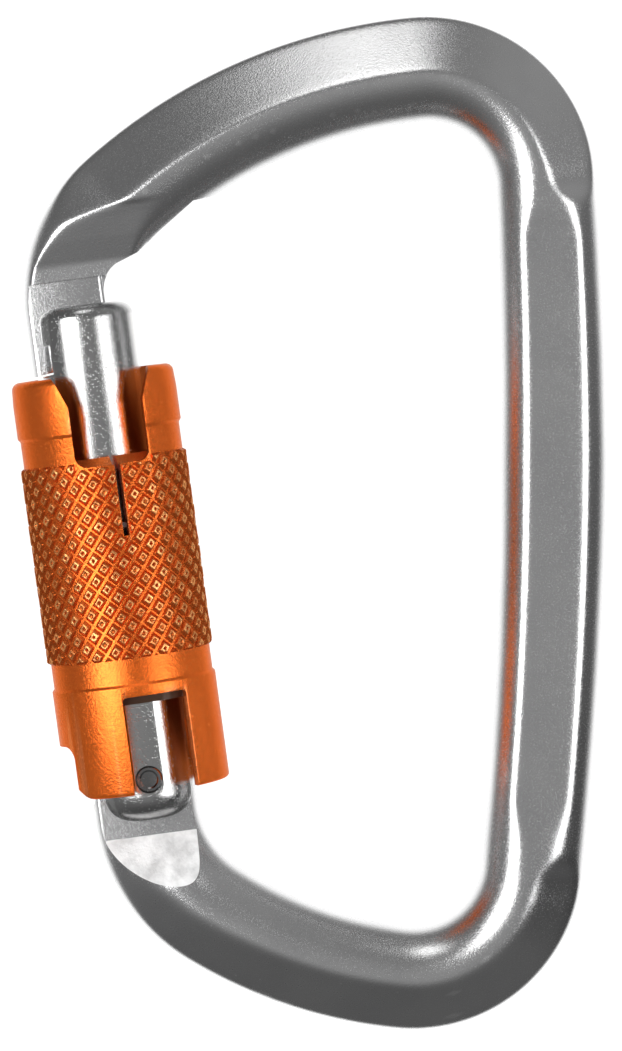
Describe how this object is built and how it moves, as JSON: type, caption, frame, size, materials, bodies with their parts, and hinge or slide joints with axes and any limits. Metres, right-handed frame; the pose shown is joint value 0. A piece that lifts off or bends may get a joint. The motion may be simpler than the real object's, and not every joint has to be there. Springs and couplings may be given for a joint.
{
  "type": "locking carabiner",
  "caption": "Large D-shaped carabiner with a round spring gate and a knurled twist-lock sleeve.",
  "frame": {"origin": "centre of the overall box, on the ring's middle plane", "axes": "+Z along the long way from the hinge end to the nose end, +X from the gate towards the spine, -Y is the front face"},
  "size_m": [0.0666, 0.0188, 0.1141],
  "materials": {
    "frame_alloy": "satin anodised, tumbled",
    "bright_gate": "bright plated",
    "rivet_steel": "turned end",
    "inner_steel": "ground",
    "spring_steel": "drawn wire",
    "orange_sleeve": "orange anodised, knurled grip"
  },
  "bodies": {
    "frame": {"body": "frame_alloy"},
    "gate": {"gate_barrel": "bright_gate", "hinge_rivet": "rivet_steel", "guide_pin": "inner_steel", "retaining_ring": "spring_steel", "gate_spring": "spring_steel"},
    "sleeve": {"lock_sleeve": "orange_sleeve", "top_bush": "orange_sleeve", "sleeve_spring": "spring_steel"},
    "plunger": {"gate_plunger": "inner_steel"}
  },
  "joints": [
    {"name": "gate_swing", "type": "hinge", "parent": "frame", "child": "gate", "pos_m": [-0.0179, 0, -0.02817], "axis": [0, 1, 0], "range_deg": [0, 22], "stiffness_Nm_per_rad": 0.08, "springref_deg": -20.05, "deforming": ["gate_spring"]},
    {"name": "sleeve_twist", "type": "hinge", "parent": "gate", "child": "sleeve", "pos_m": [-0.01833, 0, -0.02823], "axis": [-0.134, 0, 0.991], "range_deg": [0, 80], "stiffness_Nm_per_rad": 0.006, "springref_deg": -34.38, "deforming": ["sleeve_spring"]},
    {"name": "plunger_slide", "type": "slide", "parent": "gate", "child": "plunger", "axis": [-0.134, 0, 0.991], "range_m": [0, 0.001]}
  ],
  "couplings": [
    {"joint": "plunger_slide", "follows": "gate_swing", "m_per_rad": 0.0024}
  ]
}
